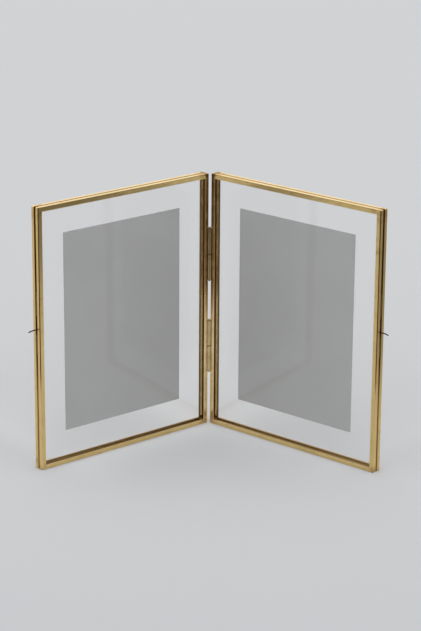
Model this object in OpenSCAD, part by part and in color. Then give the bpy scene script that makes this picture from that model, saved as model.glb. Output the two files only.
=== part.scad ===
// Double photo frame: two glass leaves in slim brass bars, hinged together like a book.
// Each leaf is two half frames with a pane each, and one print floats between the panes.
// The rear half opens backwards on its own small hinges, and a sliding wire bolt keeps it shut.
// Millimetres, +Z up. The frame stands in a V on its bottom rails, and the viewer is at -Y.

/* [Leaves] */
// Width of one leaf over its bars
leaf_w = 186; // [165:0.5:260]
// Height of one leaf over its bars
leaf_h = 234; // [205:1:320]
// Angle between the two fronts as the frame stands
v_angle = 99; // [70:1:150]
// Space from the pivot of the two leaves to the edge of each leaf
edge_gap = 1.2; // [1.2:0.1:2.2]
// Space from the pivot of the two leaves to each front, which keeps the closed fronts apart
face_gap = 0.2; // [0.1:0.1:1]

/* [Bars] */
// Width of a bar, seen from the front
bar_w = 4.4; // [4.2:0.1:7]
// Depth of a bar, front to back, in one half of a leaf
bar_d = 4.3; // [3.9:0.1:7]
// Radius of a bar's long edges on its show face
bar_round = 0.5; // [0.3:0.1:1.2]
// Radius of a bar's long outer edge along the groove
groove_round = 0.3; // [0.1:0.1:0.8]
// Radius of a leaf's outer corners, seen from the front
corner_round = 0.8; // [0.4:0.1:2]
// Groove between the front and the rear half of a leaf
groove = 0.8; // [0.6:0.1:1.6]

/* [Glass and print] */
// Thickness of a pane
glass_t = 2; // [1.5:0.1:2.5]
// How far a pane reaches behind a bar's lip
glass_lap = 1.4; // [0.8:0.1:1.4]
// Width of the print
print_w = 127; // [80:1:140]
// Height of the print
print_h = 178; // [120:1:190]
// Thickness of the print
print_t = 0.3; // [0.2:0.05:0.5]
// How far the print sits above the middle of the leaf
print_rise = 1; // [-5:0.5:5]
// How far the print sits outward of the middle of the leaf
print_out = 1; // [-5:0.5:5]

/* [Book hinges] */
// Length of one hinge over both of its knuckles
hinge_l = 48.6; // [44:0.2:60]
// Distance between the middles of the two hinges
hinge_pitch = 86; // [70:1:120]
// Outer diameter of the knuckles
hinge_od = 4.4; // [4:0.1:5]
// Diameter of the hinge pin
hinge_pin_d = 2; // [1.4:0.1:2.4]
// Thickness of the plate that joins a knuckle to its leaf
hinge_plate_t = 0.6; // [0.4:0.1:0.8]
// Diameter of the riveted heads of the hinge pin
hinge_head_d = 3; // [2.6:0.1:3.4]
// Height of the riveted heads of the hinge pin
hinge_head_h = 0.5; // [0.3:0.1:0.8]

/* [Door hinges] */
// Length of one knuckle
door_knuckle_l = 9; // [6:0.5:10]
// Outer diameter of the knuckles
door_od = 2; // [1.9:0.1:2.2]
// Diameter of the pin
door_pin_d = 1.1; // [0.8:0.1:1.2]
// Distance from the back of a leaf to the pin
door_axis_in = 1; // [0.9:0.1:1.1]
// Thickness of the straps
door_strap_t = 0.6; // [0.4:0.1:0.8]
// Diameter of the riveted heads of the pin
door_head_d = 1.8; // [1.5:0.1:2]
// Height of the riveted heads of the pin
door_head_h = 0.4; // [0.2:0.1:0.6]

/* [Latch] */
// Outer diameter of the guide and the keeper
latch_od = 2.2; // [2.2:0.1:2.4]
// Diameter of the bolt
wire_d = 1.3; // [1.2:0.1:1.4]
// Diameter of the bolt's handle
handle_d = 1.1; // [0.6:0.1:1.1]
// Height of the keeper's foot above the table
keeper_z = 103.6; // [90:0.1:110]
// Length of the keeper
keeper_l = 18.1; // [14:0.1:20]
// Open stretch between the keeper and the guide
latch_span = 16.3; // [14:0.1:20]
// Length of the guide
guide_l = 21.5; // [18:0.1:26]
// Height of the handle above the keeper, with the bolt drawn back
handle_rise = 4.6; // [3:0.1:6]
// Length of the bolt above its handle
bolt_above = 21.7; // [18:0.1:22]
// Straight stretch of the handle, from the bolt outward
handle_straight = 4.5; // [3:0.1:8]
// Radius of the handle's downward bend
handle_bend_r = 14; // [8:0.5:20]
// Angle of the handle's downward bend
handle_bend = 20; // [8:1:40]

/* [Hidden] */

// Colours
brass = [0.84, 0.63, 0.27];
dark_brass = [0.52, 0.39, 0.18];
clear_glass = [0.86, 0.89, 0.90, 0.35];
print_grey = [0.38, 0.38, 0.38];

// Overrun of every cut past the face that it breaks
cut = 1;
// Sides of a round shape
round_sides = 48;
// Radial play of a pin or a bolt in its bore
running_fit = 0.05;
// Play between a pane and the lip and walls around it
glass_fit = 0.1;
// Play between the ends of two knuckles, and under a pin's head
end_play = 0.2;
// Space round a knuckle that turns in a notch
notch_clear = 0.2;
// Space round the latch tubes in their slot
latch_clear = 0.25;
// Space between a moving strap and the stile that it passes over
strap_relief = 0.25;
// Gap between the drawn bolt's tip and the keeper's mouth
tip_clear = 0.3;
// Chamfer on the ends of tubes
tube_chamfer = 0.15;
// Countersink of the keeper's mouth
mouth_sink = 0.15;
// Chamfer on the ends of the bolt
wire_chamfer = 0.2;
// Margin of a strap or plate from the edge of the bar under it
strap_margin = 0.4;
// Chamfer of a rivet head
head_chamfer = 0.2;

// A whole leaf
leaf_t = 2 * bar_d + groove;
rear_y = bar_d + groove;
fold = (180 - v_angle) / 2;

// A pane, inside the walls of the rebates
glass_in = bar_w - glass_lap + glass_fit;

// The book hinges: each knuckle takes half of the length
hinge_half = hinge_l / 2;
upper_hinge_z = (leaf_h + hinge_pitch) / 2;
lower_hinge_z = (leaf_h - hinge_pitch) / 2;
hinge_levels = [lower_hinge_z, upper_hinge_z];

// The door hinges: the left leaf's lie behind the lower knuckles, the right leaf's behind the upper ones
door_hinge_l = 2 * door_knuckle_l + end_play;
door_axis_y = leaf_t - door_axis_in;
left_door_drop = -hinge_half / 2;
right_door_drop = hinge_half / 2;
// A strap starts just clear of the book knuckle that turns in front of it
strap_reach = hinge_od / 2 + 2 * notch_clear;
strap_y = sqrt(pow(strap_reach, 2) - pow(edge_gap - door_strap_t, 2)) - face_gap;

// The latch, in the groove of the outer edge
latch_x = leaf_w - latch_od / 2;
latch_y = leaf_t / 2;
slot_deep = latch_od + latch_clear;
slot_w = latch_od + 2 * latch_clear;
keeper_top = keeper_z + keeper_l;
guide_z = keeper_top + latch_span;
guide_top = guide_z + guide_l;
handle_z = keeper_top + handle_rise;
bolt_tip = keeper_top + tip_clear;
handle_out = handle_straight + handle_bend_r * sin(handle_bend);
handle_drop = handle_bend_r * (1 - cos(handle_bend));

// The origin lies under the middle of the standing frame: the handle's end is its foremost point,
// and the door knuckles or the stiles' rear edges are its rearmost
end_u = edge_gap + latch_x + handle_out;
end_t = face_gap + latch_y;
end_reach = handle_d / 2 * sqrt(1 - pow(cos(handle_bend) * sin(fold), 2));
front_most = end_t * cos(fold) - end_u * sin(fold) - end_reach;
knuckle_back = (face_gap + door_axis_y) * cos(fold) - edge_gap * sin(fold) + door_od / 2;
corner_back = (face_gap + leaf_t - bar_round) * cos(fold) - (edge_gap + bar_round) * sin(fold) + bar_round;
back_most = max(knuckle_back, corner_back);
origin_y = (front_most + back_most) / 2;

// Placing
// A leaf is drawn with its front at y = 0, its hinge edge at x = 0 and its foot at z = 0

module right_leaf() {
  translate([0, -origin_y, 0])
    rotate([0, 0, -fold])
      translate([edge_gap, face_gap, 0])
        children();
}

module left_leaf() {
  mirror([1, 0, 0])
    right_leaf()
      children();
}

// The rear half is the front half turned back to front
module rear_half() {
  translate([0, leaf_t, 0])
    mirror([0, 1, 0])
      children();
}

// A stile is a rail stood on end
module upright() {
  mirror([1, 0, -1])
    children();
}

module at_latch_edge() {
  translate([leaf_w, 0, 0])
    mirror([1, 0, 0])
      children();
}

// Bars

// A rectangle with its own true radius at each of two pairs of corners: near x = 0, and at the far corner
module soft_rectangle(size, near_r, far_r) {
  difference() {
    square(size);
    corner_cut([0, 0], [1, 1], near_r);
    corner_cut([0, size.y], [1, -1], near_r);
    corner_cut([size.x, 0], [-1, 1], far_r);
  }
}

// What a rounded corner takes away from the square one at a point, towards the given quadrant
module corner_cut(at, towards, r) {
  difference() {
    translate([at.x + towards.x * (r - cut) / 2, at.y + towards.y * (r - cut) / 2])
      square(r + cut, center = true);
    translate([at.x + towards.x * r, at.y + towards.y * r])
      circle(r, $fn = round_sides);
  }
}

// The bar's section: x runs back from the show face, y runs in from the leaf's outer edge
module bar_section() {
  difference() {
    soft_rectangle([bar_d, bar_w], bar_round, groove_round);
    translate([bar_d - glass_t - glass_fit, bar_w - glass_lap])
      square([glass_t + glass_fit + cut, glass_lap + cut]);
  }
}

// A bar along x with a mitre at each end, and its share of the leaf's rounded corners
module mitred_bar(len) {
  intersection() {
    rotate([90, 0, 90])
      linear_extrude(len)
        bar_section();
    translate([0, bar_d + cut, 0])
      rotate([90, 0, 0])
        linear_extrude(bar_d + 2 * cut)
          difference() {
            polygon([
              [-cut, -cut],
              [len + cut, -cut],
              [len - bar_w - cut, bar_w + cut],
              [bar_w + cut, bar_w + cut]
            ]);
            corner_cut([0, 0], [1, 1], corner_round);
            corner_cut([len, 0], [-1, 1], corner_round);
          }
  }
}

module bottom_rail() {
  mitred_bar(leaf_w);
}

module top_rail() {
  translate([0, 0, leaf_h])
    mirror([0, 0, 1])
      bottom_rail();
}

module plain_stile() {
  upright()
    mitred_bar(leaf_h);
}

// The front hinge stile is scooped out round the book hinges, whose pivot lies in front of it
module front_hinge_stile() {
  difference() {
    plain_stile();
    for (z = hinge_levels)
      translate([-edge_gap, -face_gap, z - hinge_half - hinge_head_h - notch_clear])
        cylinder(
          h = hinge_l + 2 * (hinge_head_h + notch_clear),
          d = hinge_od + 2 * notch_clear,
          $fn = round_sides
        );
  }
}

// The rear hinge stile is scooped out round the door knuckles and relieved under the straps
module rear_hinge_stile(drop) {
  difference() {
    rear_half()
      plain_stile();
    for (z = hinge_levels)
      translate([0, 0, z + drop - door_hinge_l / 2]) {
        translate([0, door_axis_y, -door_head_h - notch_clear])
          cylinder(
            h = door_hinge_l + 2 * (door_head_h + notch_clear),
            d = door_od + 2 * notch_clear,
            $fn = round_sides
          );
        translate([-cut, rear_y - cut, -notch_clear])
          cube([cut + strap_relief, door_axis_y - rear_y + cut, door_knuckle_l + end_play + notch_clear]);
      }
  }
}

// The slot for the latch, half of it in the front stile and half in the rear one
module latch_slot() {
  translate([leaf_w - slot_deep, latch_y - slot_w / 2, keeper_z - latch_clear])
    cube([slot_deep + cut, slot_w, guide_top - keeper_z + 2 * latch_clear]);
}

module front_latch_stile() {
  difference() {
    at_latch_edge()
      plain_stile();
    latch_slot();
  }
}

module rear_latch_stile() {
  difference() {
    at_latch_edge()
      rear_half()
        plain_stile();
    latch_slot();
  }
}

// Glass and print

module front_pane() {
  translate([glass_in, bar_d - glass_t, glass_in])
    cube([leaf_w - 2 * glass_in, glass_t, leaf_h - 2 * glass_in]);
}

module print_sheet() {
  translate([
    (leaf_w - print_w) / 2 + print_out,
    (leaf_t - print_t) / 2,
    (leaf_h - print_h) / 2 + print_rise
  ])
    cube([print_w, print_t, print_h]);
}

// Hinge parts

// A tube along z with chamfered ends
module tube(od, bore, len) {
  rotate_extrude($fn = round_sides)
    polygon([
      [bore / 2, 0],
      [od / 2 - tube_chamfer, 0],
      [od / 2, tube_chamfer],
      [od / 2, len - tube_chamfer],
      [od / 2 - tube_chamfer, len],
      [bore / 2, len]
    ]);
}

// A pin along z with a riveted head outside each end of a stack of knuckles of the given length
module riveted_pin(d, head_d, head_h, len) {
  rotate_extrude($fn = round_sides)
    polygon([
      [0, -head_h],
      [head_d / 2 - head_chamfer, -head_h],
      [head_d / 2, -head_h + head_chamfer],
      [head_d / 2, 0],
      [d / 2, 0],
      [d / 2, len],
      [head_d / 2, len],
      [head_d / 2, len + head_h - head_chamfer],
      [head_d / 2 - head_chamfer, len + head_h],
      [0, len + head_h]
    ]);
}

// A book knuckle with the plate that lies on its leaf's edge; the origin is the knuckle's foot on the pivot
module book_knuckle() {
  bore = hinge_pin_d + 2 * running_fit;
  len = hinge_half - end_play / 2;
  tube(hinge_od, bore, len);
  difference() {
    translate([edge_gap - hinge_plate_t, face_gap, tube_chamfer])
      cube([hinge_plate_t, bar_d - strap_margin, len - 2 * tube_chamfer]);
    cylinder(h = 3 * len, d = (hinge_od + bore) / 2, center = true, $fn = round_sides);
  }
}

module book_knuckle_at(z) {
  translate([-edge_gap, -face_gap, z])
    book_knuckle();
}

// The knuckles of a hinge share its length, the left leaf's above the right leaf's
module left_book_knuckle(z) {
  book_knuckle_at(z + end_play / 2);
}

module right_book_knuckle(z) {
  book_knuckle_at(z - hinge_half);
}

module book_pin(z) {
  translate([-edge_gap, -face_gap, z - hinge_half - end_play / 2])
    riveted_pin(hinge_pin_d, hinge_head_d, hinge_head_h, hinge_l + end_play);
}

// A door knuckle with a flat strap towards the front; the origin is the knuckle's foot on the pivot
module door_knuckle(strap_l) {
  bore = door_pin_d + 2 * running_fit;
  tube(door_od, bore, door_knuckle_l);
  difference() {
    translate([-door_strap_t, -strap_l, tube_chamfer])
      cube([door_strap_t, strap_l, door_knuckle_l - 2 * tube_chamfer]);
    cylinder(h = 3 * door_knuckle_l, d = (door_od + bore) / 2, center = true, $fn = round_sides);
  }
}

// The lower knuckle is the front half's, on a strap that crosses to the front stile
module door_strap(z, drop) {
  translate([0, door_axis_y, z + drop - door_hinge_l / 2])
    door_knuckle(door_axis_y - strap_y);
}

// The upper knuckle is the door's own, and it sits on the lower one
module door_top_knuckle(z, drop) {
  translate([0, door_axis_y, z + drop + end_play / 2])
    door_knuckle(door_axis_y - rear_y - strap_margin);
}

module door_pin(z, drop) {
  translate([0, door_axis_y, z + drop - (door_hinge_l + end_play) / 2])
    riveted_pin(door_pin_d, door_head_d, door_head_h, door_hinge_l + end_play);
}

// Latch

// A latch tube with a saddle that fills the slot on the side of the stile that carries it
module latch_tube(len, saddle_y, sink) {
  bore = wire_d + 2 * running_fit;
  difference() {
    union() {
      tube(latch_od, bore, len);
      translate([latch_od / 2 - slot_deep, saddle_y, tube_chamfer])
        cube([slot_deep - latch_od / 2, slot_w / 2, len - 2 * tube_chamfer]);
    }
    translate([0, 0, -cut])
      cylinder(h = len + 2 * cut, d = bore, $fn = round_sides);
    translate([0, 0, len - sink])
      cylinder(h = sink + cut, d1 = bore, d2 = bore + 2 * (sink + cut), $fn = round_sides);
  }
}

module latch_guide() {
  translate([latch_x, latch_y, guide_z])
    latch_tube(guide_l, -slot_w / 2, 0);
}

module latch_keeper() {
  translate([latch_x, latch_y, keeper_z])
    latch_tube(keeper_l, 0, mouth_sink);
}

// A wire along z with chamfered ends
module wire(len) {
  rotate_extrude($fn = round_sides)
    polygon([
      [0, 0],
      [wire_d / 2 - wire_chamfer, 0],
      [wire_d / 2, wire_chamfer],
      [wire_d / 2, len - wire_chamfer],
      [wire_d / 2 - wire_chamfer, len],
      [0, len]
    ]);
}

// The handle leaves the bolt square, then bends down towards its end
module bolt_handle() {
  rotate([0, 90, 0])
    cylinder(h = handle_straight, d = handle_d, $fn = round_sides);
  translate([handle_straight, 0, -handle_bend_r])
    rotate([0, -90, -90])
      rotate_extrude(angle = handle_bend, $fn = round_sides)
        translate([handle_bend_r, 0])
          circle(d = handle_d, $fn = round_sides);
}

// The bolt is a straight wire with its handle brazed on
module latch_bolt() {
  translate([latch_x, latch_y, 0]) {
    translate([0, 0, bolt_tip])
      wire(handle_z + bolt_above - bolt_tip);
    translate([0, 0, handle_z])
      bolt_handle();
  }
}

// Sub-parts of the left leaf

module left_front_top_rail() { color(brass) left_leaf() top_rail(); }
module left_front_bottom_rail() { color(brass) left_leaf() bottom_rail(); }
module left_front_hinge_stile() { color(brass) left_leaf() front_hinge_stile(); }
module left_front_latch_stile() { color(brass) left_leaf() front_latch_stile(); }
module left_rear_top_rail() { color(brass) left_leaf() rear_half() top_rail(); }
module left_rear_bottom_rail() { color(brass) left_leaf() rear_half() bottom_rail(); }
module left_rear_hinge_stile() { color(brass) left_leaf() rear_hinge_stile(left_door_drop); }
module left_rear_latch_stile() { color(brass) left_leaf() rear_latch_stile(); }
module left_front_glass() { color(clear_glass) left_leaf() front_pane(); }
module left_rear_glass() { color(clear_glass) left_leaf() rear_half() front_pane(); }
module left_print() { color(print_grey) left_leaf() print_sheet(); }
module left_latch_guide() { color(dark_brass) left_leaf() latch_guide(); }
module left_latch_keeper() { color(dark_brass) left_leaf() latch_keeper(); }
module left_latch_bolt() { color(dark_brass) left_leaf() latch_bolt(); }
module left_upper_door_strap() { color(brass) left_leaf() door_strap(upper_hinge_z, left_door_drop); }
module left_upper_door_knuckle() { color(brass) left_leaf() door_top_knuckle(upper_hinge_z, left_door_drop); }
module left_upper_door_pin() { color(dark_brass) left_leaf() door_pin(upper_hinge_z, left_door_drop); }
module left_lower_door_strap() { color(brass) left_leaf() door_strap(lower_hinge_z, left_door_drop); }
module left_lower_door_knuckle() { color(brass) left_leaf() door_top_knuckle(lower_hinge_z, left_door_drop); }
module left_lower_door_pin() { color(dark_brass) left_leaf() door_pin(lower_hinge_z, left_door_drop); }

// Sub-parts of the right leaf

module right_front_top_rail() { color(brass) right_leaf() top_rail(); }
module right_front_bottom_rail() { color(brass) right_leaf() bottom_rail(); }
module right_front_hinge_stile() { color(brass) right_leaf() front_hinge_stile(); }
module right_front_latch_stile() { color(brass) right_leaf() front_latch_stile(); }
module right_rear_top_rail() { color(brass) right_leaf() rear_half() top_rail(); }
module right_rear_bottom_rail() { color(brass) right_leaf() rear_half() bottom_rail(); }
module right_rear_hinge_stile() { color(brass) right_leaf() rear_hinge_stile(right_door_drop); }
module right_rear_latch_stile() { color(brass) right_leaf() rear_latch_stile(); }
module right_front_glass() { color(clear_glass) right_leaf() front_pane(); }
module right_rear_glass() { color(clear_glass) right_leaf() rear_half() front_pane(); }
module right_print() { color(print_grey) right_leaf() print_sheet(); }
module right_latch_guide() { color(dark_brass) right_leaf() latch_guide(); }
module right_latch_keeper() { color(dark_brass) right_leaf() latch_keeper(); }
module right_latch_bolt() { color(dark_brass) right_leaf() latch_bolt(); }
module right_upper_door_strap() { color(brass) right_leaf() door_strap(upper_hinge_z, right_door_drop); }
module right_upper_door_knuckle() { color(brass) right_leaf() door_top_knuckle(upper_hinge_z, right_door_drop); }
module right_upper_door_pin() { color(dark_brass) right_leaf() door_pin(upper_hinge_z, right_door_drop); }
module right_lower_door_strap() { color(brass) right_leaf() door_strap(lower_hinge_z, right_door_drop); }
module right_lower_door_knuckle() { color(brass) right_leaf() door_top_knuckle(lower_hinge_z, right_door_drop); }
module right_lower_door_pin() { color(dark_brass) right_leaf() door_pin(lower_hinge_z, right_door_drop); }

// Book hinges between the leaves

module upper_hinge_left_knuckle() { color(brass) left_leaf() left_book_knuckle(upper_hinge_z); }
module upper_hinge_right_knuckle() { color(brass) right_leaf() right_book_knuckle(upper_hinge_z); }
module upper_hinge_pin() { color(dark_brass) left_leaf() book_pin(upper_hinge_z); }
module lower_hinge_left_knuckle() { color(brass) left_leaf() left_book_knuckle(lower_hinge_z); }
module lower_hinge_right_knuckle() { color(brass) right_leaf() right_book_knuckle(lower_hinge_z); }
module lower_hinge_pin() { color(dark_brass) left_leaf() book_pin(lower_hinge_z); }

left_front_top_rail();
left_front_bottom_rail();
left_front_hinge_stile();
left_front_latch_stile();
left_rear_top_rail();
left_rear_bottom_rail();
left_rear_hinge_stile();
left_rear_latch_stile();
left_front_glass();
left_rear_glass();
left_print();
left_latch_guide();
left_latch_keeper();
left_latch_bolt();
left_upper_door_strap();
left_upper_door_knuckle();
left_upper_door_pin();
left_lower_door_strap();
left_lower_door_knuckle();
left_lower_door_pin();
right_front_top_rail();
right_front_bottom_rail();
right_front_hinge_stile();
right_front_latch_stile();
right_rear_top_rail();
right_rear_bottom_rail();
right_rear_hinge_stile();
right_rear_latch_stile();
right_front_glass();
right_rear_glass();
right_print();
right_latch_guide();
right_latch_keeper();
right_latch_bolt();
right_upper_door_strap();
right_upper_door_knuckle();
right_upper_door_pin();
right_lower_door_strap();
right_lower_door_knuckle();
right_lower_door_pin();
upper_hinge_left_knuckle();
upper_hinge_right_knuckle();
upper_hinge_pin();
lower_hinge_left_knuckle();
lower_hinge_right_knuckle();
lower_hinge_pin();
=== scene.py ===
"""The looks of the double photo frame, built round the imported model.

Every bar, tube, pin and wire, every pane and both prints come from the frame with their true shapes.
This script gives each of them its finish and sets the stage.
"""

import math

import bpy
from mathutils import Matrix, Vector

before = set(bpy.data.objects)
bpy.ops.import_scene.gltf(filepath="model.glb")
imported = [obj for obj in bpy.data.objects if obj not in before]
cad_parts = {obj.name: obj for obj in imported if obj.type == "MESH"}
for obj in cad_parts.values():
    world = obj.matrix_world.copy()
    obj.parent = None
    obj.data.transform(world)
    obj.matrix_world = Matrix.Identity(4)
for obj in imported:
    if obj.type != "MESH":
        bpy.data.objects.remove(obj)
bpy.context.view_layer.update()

MM = 0.001


# Leaf measures, read from the frame

UP = Vector((0, 0, 1))
LEVEL_WITHIN = 0.01 * MM


def vertices(*names):
    return [vertex.co.copy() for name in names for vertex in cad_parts[name].data.vertices]


def reach(points, direction):
    """The least and the greatest place of the points along a direction."""
    along = [point.dot(direction) for point in points]
    return min(along), max(along)


def level_direction(name):
    """The direction of the node's longest level edge, pointing to +X."""
    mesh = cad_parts[name].data
    longest = Vector((0, 0, 0))
    for edge in mesh.edges:
        start, end = (mesh.vertices[i].co for i in edge.vertices)
        along = end - start
        if abs(along.z) < LEVEL_WITHIN and along.length > longest.length:
            longest = along
    longest.normalize()
    return longest if longest.x > 0 else -longest


OUTWARD = level_direction("right_front_bottom_rail")
BACKWARD = Vector((-OUTWARD.y, OUTWARD.x, 0))
RIGHT_BARS = vertices(*[
    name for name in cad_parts
    if name.startswith("right_") and name.endswith(("rail", "stile"))
])
EDGE_AT, OUTSIDE_AT = reach(RIGHT_BARS, OUTWARD)
FRONT_AT, BACK_AT = reach(RIGHT_BARS, BACKWARD)
LEAF_W = OUTSIDE_AT - EDGE_AT
LEAF_T = BACK_AT - FRONT_AT
LEAF_H = reach(RIGHT_BARS, UP)[1]
BAR_W = reach(vertices("right_front_bottom_rail"), UP)[1]
SLOT_FROM = reach(vertices("right_latch_keeper"), UP)[0]
SLOT_TO = reach(vertices("right_latch_guide"), UP)[1]
HINGE_SPLITS = [reach(vertices(level + "_hinge_left_knuckle"), UP)[0] for level in ("lower", "upper")]


# Zones
# A zone is the product of its ramps. A ramp names a place, then gives the two values of it between which
# the amount changes, and then the amounts at those two, which are 0 and 1 where they are left out.

# Where a bar is darkened. In the mitre seams and brazed corners this is tarnish.
# In the lips, rebates, groove and latch slots it is tarnish and painted shade.
# On the outer front edges and the upper halves of the hinge stiles it is painted dark reflection.
TARNISH_AND_SHADE_ZONES = {
    "lips of the openings, less on the right leaf": (
        ("inset", BAR_W - 0.15 * MM, BAR_W - 0.02 * MM),
        ("back", 0.3 * LEAF_T, 0.8 * LEAF_T, 1.0, 0.85),
        ("x", -1 * MM, 1 * MM, 1.0, 0.78),
    ),
    "lips of the openings, above the bottom rails": (
        ("inset", BAR_W - 0.15 * MM, BAR_W - 0.02 * MM),
        ("back", 0.3 * LEAF_T, 0.8 * LEAF_T, 1.0, 0.85),
        ("up", 1.2 * BAR_W, 1.4 * BAR_W),
    ),
    "rebates": (
        ("inset", BAR_W - 1.6 * MM, BAR_W - 1.5 * MM),
        ("from_middle", 2.3 * MM, 2.6 * MM, 1.0, 0.0),
        ("back", 0.40 * LEAF_T, 0.50 * LEAF_T, 0.25, 0.97),
    ),
    "groove between the halves": (
        ("from_middle", 1.00 * MM, 1.60 * MM, 1.0, 0.0),
        ("across", LEAF_W - BAR_W, LEAF_W - 0.8 * BAR_W, 0.40, 1.0),
        ("up", 0.25 * LEAF_H, 0.50 * LEAF_H, 0.40, 0.95),
    ),
    "outer front edges": (
        ("from_outside", 0.50 * MM, 0.85 * MM, 0.80, 0.0),
        ("back", 0.50 * MM, 0.90 * MM, 1.0, 0.0),
        ("up", 0.28 * LEAF_H, 0.40 * LEAF_H),
    ),
    "seams of the mitres": (
        ("from_seam", 0.03 * MM, 0.12 * MM, 0.55, 0.0),
    ),
    "brazed corners": (
        ("from_corner", 6 * MM, 16 * MM, 0.35, 0.0),
        ("smears", 0.40, 0.65),
    ),
    "slots of the latches": (
        ("up", SLOT_FROM - 0.4 * MM, SLOT_FROM),
        ("up", SLOT_TO, SLOT_TO + 0.4 * MM, 1.0, 0.0),
        ("from_middle", 1.25 * MM, 1.40 * MM, 1.0, 0.0),
        ("inset", 2.6 * MM, 2.7 * MM, 1.0, 0.0),
    ),
    "upper halves of the hinge stiles": (
        ("across", 0.8 * BAR_W, 1.1 * BAR_W, 0.72, 0.0),
        ("up", 0.40 * LEAF_H, 0.62 * LEAF_H),
        ("smears", 0.30, 0.60, 0.6, 1.0),
    ),
}

# Where a bar's front edges get a painted glint, which also takes the tarnish off them
GLINTING_EDGES = {
    "round the openings": (
        ("inset", BAR_W - 0.70 * MM, BAR_W - 0.45 * MM),
        ("back", 0.15 * MM, 0.45 * MM, 0.85, 0.0),
    ),
    "along the hinge": (
        ("across", 0.45 * MM, 0.70 * MM, 1.0, 0.0),
        ("back", 0.15 * MM, 0.45 * MM, 0.85, 0.0),
    ),
}

# Where the lower fronts of the hinge stiles get a painted bright reflection
LOWER_STILE_HIGHLIGHT = (
    ("across", 0.8 * BAR_W, 1.1 * BAR_W, 0.9, 0.0),
    ("back", 0.2 * MM, 0.6 * MM, 1.0, 0.0),
    ("up", 0.38 * LEAF_H, 0.52 * LEAF_H, 1.0, 0.0),
    ("smears", 0.30, 0.60, 1.0, 0.6),
)

# How much roughness the outer sides of the leaves add
HAZY_ZONE = (
    ("across", LEAF_W - 0.3 * MM, LEAF_W - 0.1 * MM, 0.0, 0.14),
)

# The dark line where two knuckles of a book hinge meet
SPLIT_ZONE = (
    ("from_split", 0.25 * MM, 0.60 * MM, 0.9, 0.0),
)

# A bolt's handle, which stands out from the leaf and is darkened by fingers
HANDLE_ZONE = (
    ("across", LEAF_W + 0.5 * MM, LEAF_W + 3 * MM, 0.0, 0.95),
)

# Where the floor near the leaves is lighter than their shadow would leave it
LIFTED_FLOOR = (
    ("back", -75 * MM, -3 * MM, 0.0, 0.70),
    ("back", LEAF_T, LEAF_T + 8 * MM, 1.0, 1.40),
    ("back", LEAF_T + 20 * MM, LEAF_T + 230 * MM, 1.0, 0.0),
    ("across", LEAF_W - 40 * MM, LEAF_W, 1.0, 0.0),
    ("x", -15 * MM, 15 * MM, 0.85, 0.62),
)

# How bright metal sees the floor: brightest to the left, and dim to the right and in front
FLOOR_IN_METAL = (
    ("x", 0.27, 0.50, 1.0, 0.44),
    ("x", -0.72, -0.52, 1.55, 1.0),
    ("y", -0.50, -0.12, 0.10, 1.0),
)

# How bright metal sees the surround: a dim studio in front, a bright paper sweep behind, less overhead
SURROUND_IN_METAL = (
    ("y", -0.30, 0.50, 0.12, 1.10),
    ("z", 0.45, 0.95, 1.0, 0.70),
)


# Noise, as its scale, detail and roughness. Patches end with the ramp that turns the noise into them.

DRAWN_LINES = (3800.0, 3.0, 0.6)
SMEARS = (120.0, 4.0, 0.65)
WARM_PATCHES = (34.0, 3.0, 0.55, 0.35, 0.72, 0.0, 0.50)
OLIVE_PATCHES = (17.0, 2.0, 0.5, 0.48, 0.70, 0.0, 0.35)
SPECKS = (1400.0, 2.0, 0.5, 0.66, 0.78, 0.0, 0.25)
BLOOMS = (75.0, 3.0, 0.6, 0.62, 0.74, 0.0, 0.20)
PANE_SMEARS = (22.0, 4.0, 0.6, 0.50, 0.85, 0.0, 0.035)
PANE_WAVES = (9.0, 1.0, 0.5)
PAPER_TONES = (30.0, 3.0, 0.5, 0.3, 0.7)
PAPER_TOOTH = (5200.0, 3.0, 0.6)


# Shader building

# The sockets of a Mix node that mixes colours
MIX_SHARE, MIX_FROM, MIX_TO, MIXED = 0, 6, 7, 2


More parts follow.
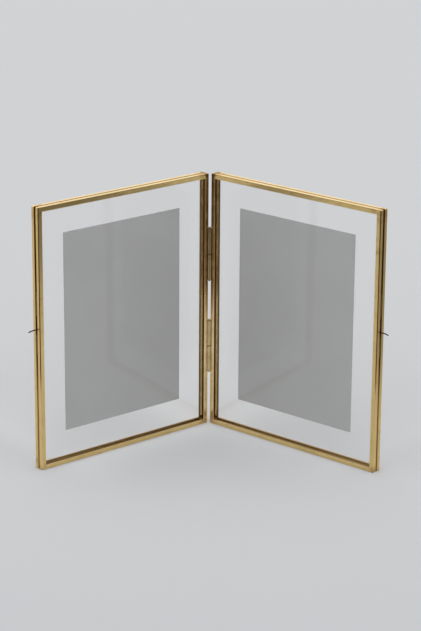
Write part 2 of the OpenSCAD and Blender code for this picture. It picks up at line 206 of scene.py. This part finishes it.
class Nodes:
    """The node tree of a material or the world, with a short call for each kind of node used here."""

    def __init__(self, owner, output):
        owner.use_nodes = True
        self.tree = owner.node_tree
        self.tree.nodes.clear()
        self.output = self.add(output)

    def add(self, kind, sockets=(), **settings):
        node = self.tree.nodes.new("ShaderNode" + kind)
        for key, value in settings.items():
            setattr(node, key, value)
        for name, value in dict(sockets).items():
            self.set(node.inputs[name], value)
        return node

    def set(self, socket, value):
        if isinstance(value, bpy.types.NodeSocket):
            self.tree.links.new(value, socket)
        elif isinstance(value, tuple) and socket.type == "RGBA":
            socket.default_value = (*value, 1)
        else:
            socket.default_value = value

    def finish(self, surface):
        self.tree.links.new(surface, self.output.inputs["Surface"])

    def math(self, operation, a, b=0.0, c=0.0):
        return self.add("Math", {0: a, 1: b, 2: c}, operation=operation).outputs[0]

    def chain(self, operation, values):
        """The operation on the first two values, then on its result and the next value, to the last."""
        result = values[0]
        for value in values[1:]:
            result = self.math(operation, result, value)
        return result

    def product(self, *values):
        return self.chain("MULTIPLY", values)

    def largest(self, *values):
        return self.chain("MAXIMUM", values)

    def smallest(self, *values):
        return self.chain("MINIMUM", values)

    def minus(self, a, b):
        return self.math("SUBTRACT", a, b)

    def distance(self, a, b):
        return self.math("ABSOLUTE", self.minus(a, b))

    def step(self, value, low, high, to_low=0.0, to_high=1.0):
        """A smooth change from to_low to to_high as value goes from low to high."""
        sockets = {"Value": value, "From Min": low, "From Max": high, "To Min": to_low, "To Max": to_high}
        return self.add("MapRange", sockets, interpolation_type="SMOOTHSTEP").outputs["Result"]

    def zone(self, places, ramps):
        return self.product(*[self.step(places[name], *ramp) for name, *ramp in ramps])

    def strongest(self, places, zones):
        return self.largest(*[self.zone(places, ramps) for ramps in zones.values()])

    def mix(self, share, a, b):
        sockets = {MIX_SHARE: share, MIX_FROM: a, MIX_TO: b}
        return self.add("Mix", sockets, data_type="RGBA").outputs[MIXED]

    def dim(self, colour, share):
        return self.mix(share, (0.0, 0.0, 0.0), colour)

    def combine(self, x, y, z):
        return self.add("CombineXYZ", {0: x, 1: y, 2: z}).outputs[0]

    def grey(self, level):
        return self.combine(level, level, level)

    def parts(self, vector):
        return self.add("SeparateXYZ", {0: vector}).outputs

    def along(self, at, direction):
        return self.add("VectorMath", {0: at, 1: direction}, operation="DOT_PRODUCT").outputs["Value"]

    def place(self):
        """The surface's place in the row frame, with the joints at rest."""
        return self.add("TexCoord").outputs["Object"]

    def leaf_places(self):
        """Where a point lies: x and y, across its leaf from the hinge edge, back from the front, and up.

        The leaves mirror each other, so the last three are measured on both as on the right one.
        """
        x, y, z = self.parts(self.place())
        mirrored = self.combine(self.math("ABSOLUTE", x), y, z)
        return {
            "x": x,
            "y": y,
            "across": self.minus(self.along(mirrored, OUTWARD), EDGE_AT),
            "back": self.minus(self.along(mirrored, BACKWARD), FRONT_AT),
            "up": z,
        }

    def noise(self, at, scale, detail, roughness):
        sockets = {"Vector": at, "Scale": scale, "Detail": detail, "Roughness": roughness}
        return self.add("TexNoise", sockets).outputs["Fac"]

    def patches(self, scale, detail, roughness, *ramp):
        return self.step(self.noise(self.place(), scale, detail, roughness), *ramp)

    def bump(self, height, strength, distance):
        sockets = {"Strength": strength, "Distance": distance, "Height": height}
        return self.add("Bump", sockets).outputs["Normal"]


def new_material(name):
    material = bpy.data.materials.new(name)
    return material, Nodes(material, "OutputMaterial")


# Brass and copper

BRASS = (0.86, 0.635, 0.275)
BRASS_WARM = (0.81, 0.55, 0.21)
BRASS_OLIVE = (0.67, 0.53, 0.20)
# Pale brass of the painted glints and painted bright reflections
BRASS_HIGHLIGHT = (0.98, 0.81, 0.52)
FITTING = (0.74, 0.59, 0.32)
FITTING_WARM = (0.60, 0.43, 0.20)
TUBE = (0.30, 0.21, 0.08)
TUBE_WARM = (0.24, 0.15, 0.05)
PIN = (0.38, 0.27, 0.13)
PIN_WARM = (0.30, 0.19, 0.08)
COPPER = (0.28, 0.115, 0.025)
COPPER_WARM = (0.20, 0.07, 0.012)
HANDLE = (0.13, 0.045, 0.006)
BROWNED = (0.42, 0.245, 0.085)
# Darkest tarnish, which is also the colour of painted shade
TARNISH_AND_SHADE_COLOUR = (0.075, 0.034, 0.005)

# Tint of the glancing reflections
CLEAN_GLANCE = (1.0, 1.0, 1.0)
TARNISHED_GLANCE = (0.92, 0.63, 0.28)

# Levels of the smears between which they tarnish the metal
TARNISHING_SMEARS = (0.45, 0.80)

# How much of the tarnish and painted shade a painted glint on an edge takes off
GLINT_CLEARS = 0.75

# Share of its scale that the noise of the drawn lines keeps along them
LINE_STRETCH = 0.012

# Strength and depth of the drawn lines' relief
LINE_RELIEF = (0.10, 0.02 * MM)

# Most roughness that each of these adds
SMEARS_ROUGHEN = 0.10
LINES_ROUGHEN = 0.08
TARNISH_ROUGHENS = 0.22


def bar_wear_and_painted_light(n, places, tint, tarnish_and_shade):
    """A bar's tint and tarnish with its wear, painted glints, painted reflections and painted shade, and the
    roughness that this adds.
    """
    from_outside = n.minus(LEAF_W, places["across"])
    side_in = n.smallest(places["across"], from_outside)
    end_in = n.smallest(places["up"], n.minus(LEAF_H, places["up"]))
    places = {
        **places,
        "from_outside": from_outside,
        "from_middle": n.distance(places["back"], LEAF_T / 2),
        "from_seam": n.distance(side_in, end_in),
        "from_corner": n.math("ADD", side_in, end_in),
        "inset": n.smallest(side_in, end_in),
    }
    # Painted glints and a painted bright reflection lighten the tint, and painted shade joins the tarnish.
    glints = n.strongest(places, GLINTING_EDGES)
    tint = n.mix(n.patches(*OLIVE_PATCHES), tint, BRASS_OLIVE)
    tint = n.mix(n.largest(glints, n.zone(places, LOWER_STILE_HIGHLIGHT)), tint, BRASS_HIGHLIGHT)
    tarnish_and_shade = n.largest(tarnish_and_shade, n.strongest(places, TARNISH_AND_SHADE_ZONES))
    tarnish_and_shade = n.product(tarnish_and_shade, n.math("MULTIPLY_ADD", glints, -GLINT_CLEARS, 1.0))
    return tint, tarnish_and_shade, n.zone(places, HAZY_ZONE)


def fitting_wear(n, places, tint, tarnish_and_shade):
    """A fitting's tint and tarnish with its wear, and the roughness that this adds, which is none."""
    from_split = n.smallest(*[n.distance(places["up"], split) for split in HINGE_SPLITS])
    tint = n.mix(n.zone(places, HANDLE_ZONE), tint, HANDLE)
    tarnish_and_shade = n.largest(tarnish_and_shade, n.zone({"from_split": from_split}, SPLIT_ZONE))
    return tint, tarnish_and_shade, 0.0


def tarnished_and_shaded(n, tint, tarnish_and_shade):
    """Metal browns as tarnish and painted shade go from 0 to a half, and turns nearly black as they go on to
    1.
    """
    browned = n.mix(n.product(tarnish_and_shade, 2.0), tint, BROWNED)
    return n.mix(n.math("MULTIPLY_ADD", tarnish_and_shade, 2.0, -1.0), browned, TARNISH_AND_SHADE_COLOUR)


def metal(name, colour, warm, roughness, smeared, lines_along="up", wear_and_light=fitting_wear):
    """Polished metal with drawn lines, warmer patches, specks, smears, tarnish and wear, and on the bars
    painted light and shade.
    """
    material, n = new_material(name)
    smears = n.noise(n.place(), *SMEARS)
    places = {**n.leaf_places(), "smears": smears}

    drawn = {**places, lines_along: n.product(places[lines_along], LINE_STRETCH)}
    lines = n.noise(n.combine(drawn["across"], drawn["back"], drawn["up"]), *DRAWN_LINES)

    tint = n.mix(n.patches(*WARM_PATCHES), colour, warm)
    tarnish_and_shade = n.product(n.step(smears, *TARNISHING_SMEARS), smeared)
    tarnish_and_shade = n.largest(tarnish_and_shade, n.patches(*BLOOMS))
    tint, tarnish_and_shade, rougher = wear_and_light(n, places, tint, tarnish_and_shade)
    tint = n.mix(n.patches(*SPECKS), tint, TARNISH_AND_SHADE_COLOUR)

    # Smears and lines lie round a half, so half of what they add comes off the metal's own roughness
    rough = n.math("MULTIPLY_ADD", smears, SMEARS_ROUGHEN, roughness - (SMEARS_ROUGHEN + LINES_ROUGHEN) / 2)
    rough = n.math("MULTIPLY_ADD", lines, LINES_ROUGHEN, rough)
    rough = n.math("MULTIPLY_ADD", tarnish_and_shade, TARNISH_ROUGHENS, rough)
    surface = n.add("BsdfPrincipled", {
        "Base Color": tarnished_and_shaded(n, tint, tarnish_and_shade),
        "Metallic": 1.0,
        "Roughness": n.math("ADD", rough, rougher),
        "Specular Tint": n.mix(tarnish_and_shade, CLEAN_GLANCE, TARNISHED_GLANCE),
        "Normal": n.bump(lines, *LINE_RELIEF),
    })
    n.finish(surface.outputs[0])
    return material


# Glass

PANE = (0.992, 0.993, 0.992)
PANE_GLANCE = (0.24, 0.24, 0.24)
PANE_SHADOW = (0.985, 0.988, 0.986)
PANE_IOR = 1.5
PANE_RELIEF = (0.04, 0.2 * MM)


def clear_glass():
    """Clear float glass with a breath of smear. Lamps and bounced light pass straight through it."""
    material, n = new_material("clear_glass")
    pane = n.add("BsdfPrincipled", {
        "Base Color": PANE,
        "Roughness": n.patches(*PANE_SMEARS),
        "IOR": PANE_IOR,
        "Transmission Weight": 1.0,
        "Specular Tint": PANE_GLANCE,
        "Normal": n.bump(n.noise(n.place(), *PANE_WAVES), *PANE_RELIEF),
    })
    through = n.add("BsdfTransparent", {"Color": PANE_SHADOW})
    rays = n.add("LightPath").outputs
    soft = n.largest(rays["Is Shadow Ray"], rays["Is Diffuse Ray"])
    n.finish(n.add("MixShader", {0: soft, 1: pane.outputs[0], 2: through.outputs[0]}).outputs[0])
    return material


# Print

PAPER_LIGHT = (0.376, 0.375, 0.375)
PAPER_DARK = (0.364, 0.363, 0.363)
PAPER_PITS = (0.341, 0.340, 0.340)
PITS_IN_TOOTH = (0.35, 0.75, 0.0, 0.35)
PAPER_ROUGHNESS = 0.62
PAPER_SHINE = 0.3
PAPER_RELIEF = (0.25, 0.015 * MM)


def photo_paper():
    """Plain grey print on matt paper: a fine tooth, and the least unevenness of tone."""
    material, n = new_material("photo_paper")
    tooth = n.noise(n.place(), *PAPER_TOOTH)
    tint = n.mix(n.patches(*PAPER_TONES), PAPER_DARK, PAPER_LIGHT)
    paper = n.add("BsdfPrincipled", {
        "Base Color": n.mix(n.step(tooth, *PITS_IN_TOOTH), tint, PAPER_PITS),
        "Roughness": PAPER_ROUGHNESS,
        "Specular IOR Level": PAPER_SHINE,
        "Normal": n.bump(tooth, *PAPER_RELIEF),
    })
    n.finish(paper.outputs[0])
    return material


# Finishes on the frame's own nodes

CREASE = math.radians(30)


def give(endings, material):
    for name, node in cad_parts.items():
        if name.endswith(endings):
            node.data.materials.clear()
            node.data.materials.append(material)


def smooth_rounds():
    """Round faces shade smoothly, and edges sharper than a crease stay crisp."""
    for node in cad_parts.values():
        node.data.shade_smooth()
        node.data.set_sharp_from_angle(angle=CREASE)


def dress_nodes():
    bar = {"colour": BRASS, "warm": BRASS_WARM, "roughness": 0.20, "smeared": 0.12, "wear_and_light": bar_wear_and_painted_light}
    give("rail", metal("brass_rails", lines_along="across", **bar))
    give("stile", metal("brass_stiles", **bar))
    give(("knuckle", "strap"), metal("satin_fittings", FITTING, FITTING_WARM, roughness=0.22, smeared=0.30))
    give(("guide", "keeper"), metal("dark_tubes", TUBE, TUBE_WARM, roughness=0.32, smeared=0.90))
    give("pin", metal("dark_pins", PIN, PIN_WARM, roughness=0.34, smeared=0.45))
    give("bolt", metal("copper_wire", COPPER, COPPER_WARM, roughness=0.28, smeared=0.25))
    give("glass", clear_glass())
    give("print", photo_paper())
    smooth_rounds()


# Floor

FLOOR_SIZE = 44.0
# Towards the front the floor is painted darker, as painted fall-off of the light.
FLOOR_FAR = (0.632, 0.640, 0.655)
FLOOR_NEAR = (0.575, 0.583, 0.600)
FLOOR_LIFTED = (0.740, 0.748, 0.764)
NEAR_TO_FAR = (-0.55, 0.10)


def floor_paper():
    material, n = new_material("studio_floor")
    places = n.leaf_places()
    paper = n.mix(n.step(places["y"], *NEAR_TO_FAR), FLOOR_NEAR, FLOOR_FAR)
    direct = n.mix(n.zone(places, LIFTED_FLOOR), paper, FLOOR_LIFTED)
    mirrored = n.dim(paper, n.zone(places, FLOOR_IN_METAL))
    rays = n.add("LightPath").outputs
    reflected = n.minus(rays["Is Glossy Ray"], rays["Is Transmission Ray"])
    n.finish(n.add("BsdfDiffuse", {"Color": n.mix(reflected, direct, mirrored)}).outputs[0])
    return material


def add_floor():
    mesh = bpy.data.meshes.new("studio_floor")
    h = FLOOR_SIZE / 2
    mesh.from_pydata([(-h, -h, 0), (h, -h, 0), (h, h, 0), (-h, h, 0)], [], [(0, 1, 2, 3)])
    mesh.materials.append(floor_paper())
    floor = bpy.data.objects.new("studio_floor", mesh)
    bpy.context.scene.collection.objects.link(floor)


# Light

FILL = 0.95
FILL_LEAN_TO_FRONT = 0.60
OVERHEAD_STRENGTH = 0.22
OVERHEAD_SIZE = math.radians(55)
OVERHEAD_FROM = Vector((-0.35, 0.65, 1.0))


def add_world():
    """A pale surround that leans to the front for paper, and to the back for metal."""
    world = bpy.data.worlds.new("studio")
    bpy.context.scene.world = world
    n = Nodes(world, "OutputWorld")
    _, y, z = n.parts(n.add("TexCoord").outputs["Generated"])
    fill = n.math("MULTIPLY_ADD", y, -FILL_LEAN_TO_FRONT, FILL)
    in_metal = n.zone({"y": y, "z": z}, SURROUND_IN_METAL)
    rays = n.add("LightPath").outputs
    straight = n.largest(rays["Is Camera Ray"], rays["Is Transmission Ray"])
    bounced = n.mix(rays["Is Glossy Ray"], n.grey(fill), n.grey(in_metal))
    n.finish(n.add("Background", {"Color": n.mix(straight, bounced, FLOOR_FAR)}).outputs[0])


def add_overhead():
    lamp = bpy.data.lights.new("overhead", "SUN")
    lamp.energy = OVERHEAD_STRENGTH
    lamp.angle = OVERHEAD_SIZE
    overhead = bpy.data.objects.new("overhead", lamp)
    overhead.rotation_euler = OVERHEAD_FROM.to_track_quat("Z", "Y").to_euler()
    bpy.context.scene.collection.objects.link(overhead)


# Camera, from the lines of the bars and prints in the photograph

CAMERA_AT = Vector((7.5, -1879.6, 725.6)) * MM
CAMERA_YAW = math.radians(-0.187)
CAMERA_PITCH = math.radians(17.827)
CAMERA_ROLL = math.radians(0.397)
FOCAL_PX = 2264.4
PICTURE_H_PX = 631
SENSOR = 36.0
FARTHEST_SEEN = 50.0


def add_camera():
    forward = Vector((
        math.sin(CAMERA_YAW) * math.cos(CAMERA_PITCH),
        math.cos(CAMERA_YAW) * math.cos(CAMERA_PITCH),
        -math.sin(CAMERA_PITCH),
    ))
    level = Vector((math.cos(CAMERA_YAW), -math.sin(CAMERA_YAW), 0))
    upright = level.cross(forward)
    right = level * math.cos(CAMERA_ROLL) + upright * math.sin(CAMERA_ROLL)
    up = upright * math.cos(CAMERA_ROLL) - level * math.sin(CAMERA_ROLL)
    lens = bpy.data.cameras.new("camera")
    lens.sensor_width = SENSOR
    lens.lens = FOCAL_PX / PICTURE_H_PX * SENSOR
    lens.clip_end = FARTHEST_SEEN
    camera = bpy.data.objects.new("camera", lens)
    camera.matrix_world = Matrix.Translation(CAMERA_AT) @ Matrix((right, up, -forward)).transposed().to_4x4()
    bpy.context.scene.collection.objects.link(camera)
    bpy.context.scene.camera = camera


add_camera()
dress_nodes()
add_floor()
add_world()
add_overhead()
bpy.context.scene.view_settings.view_transform = "Standard"
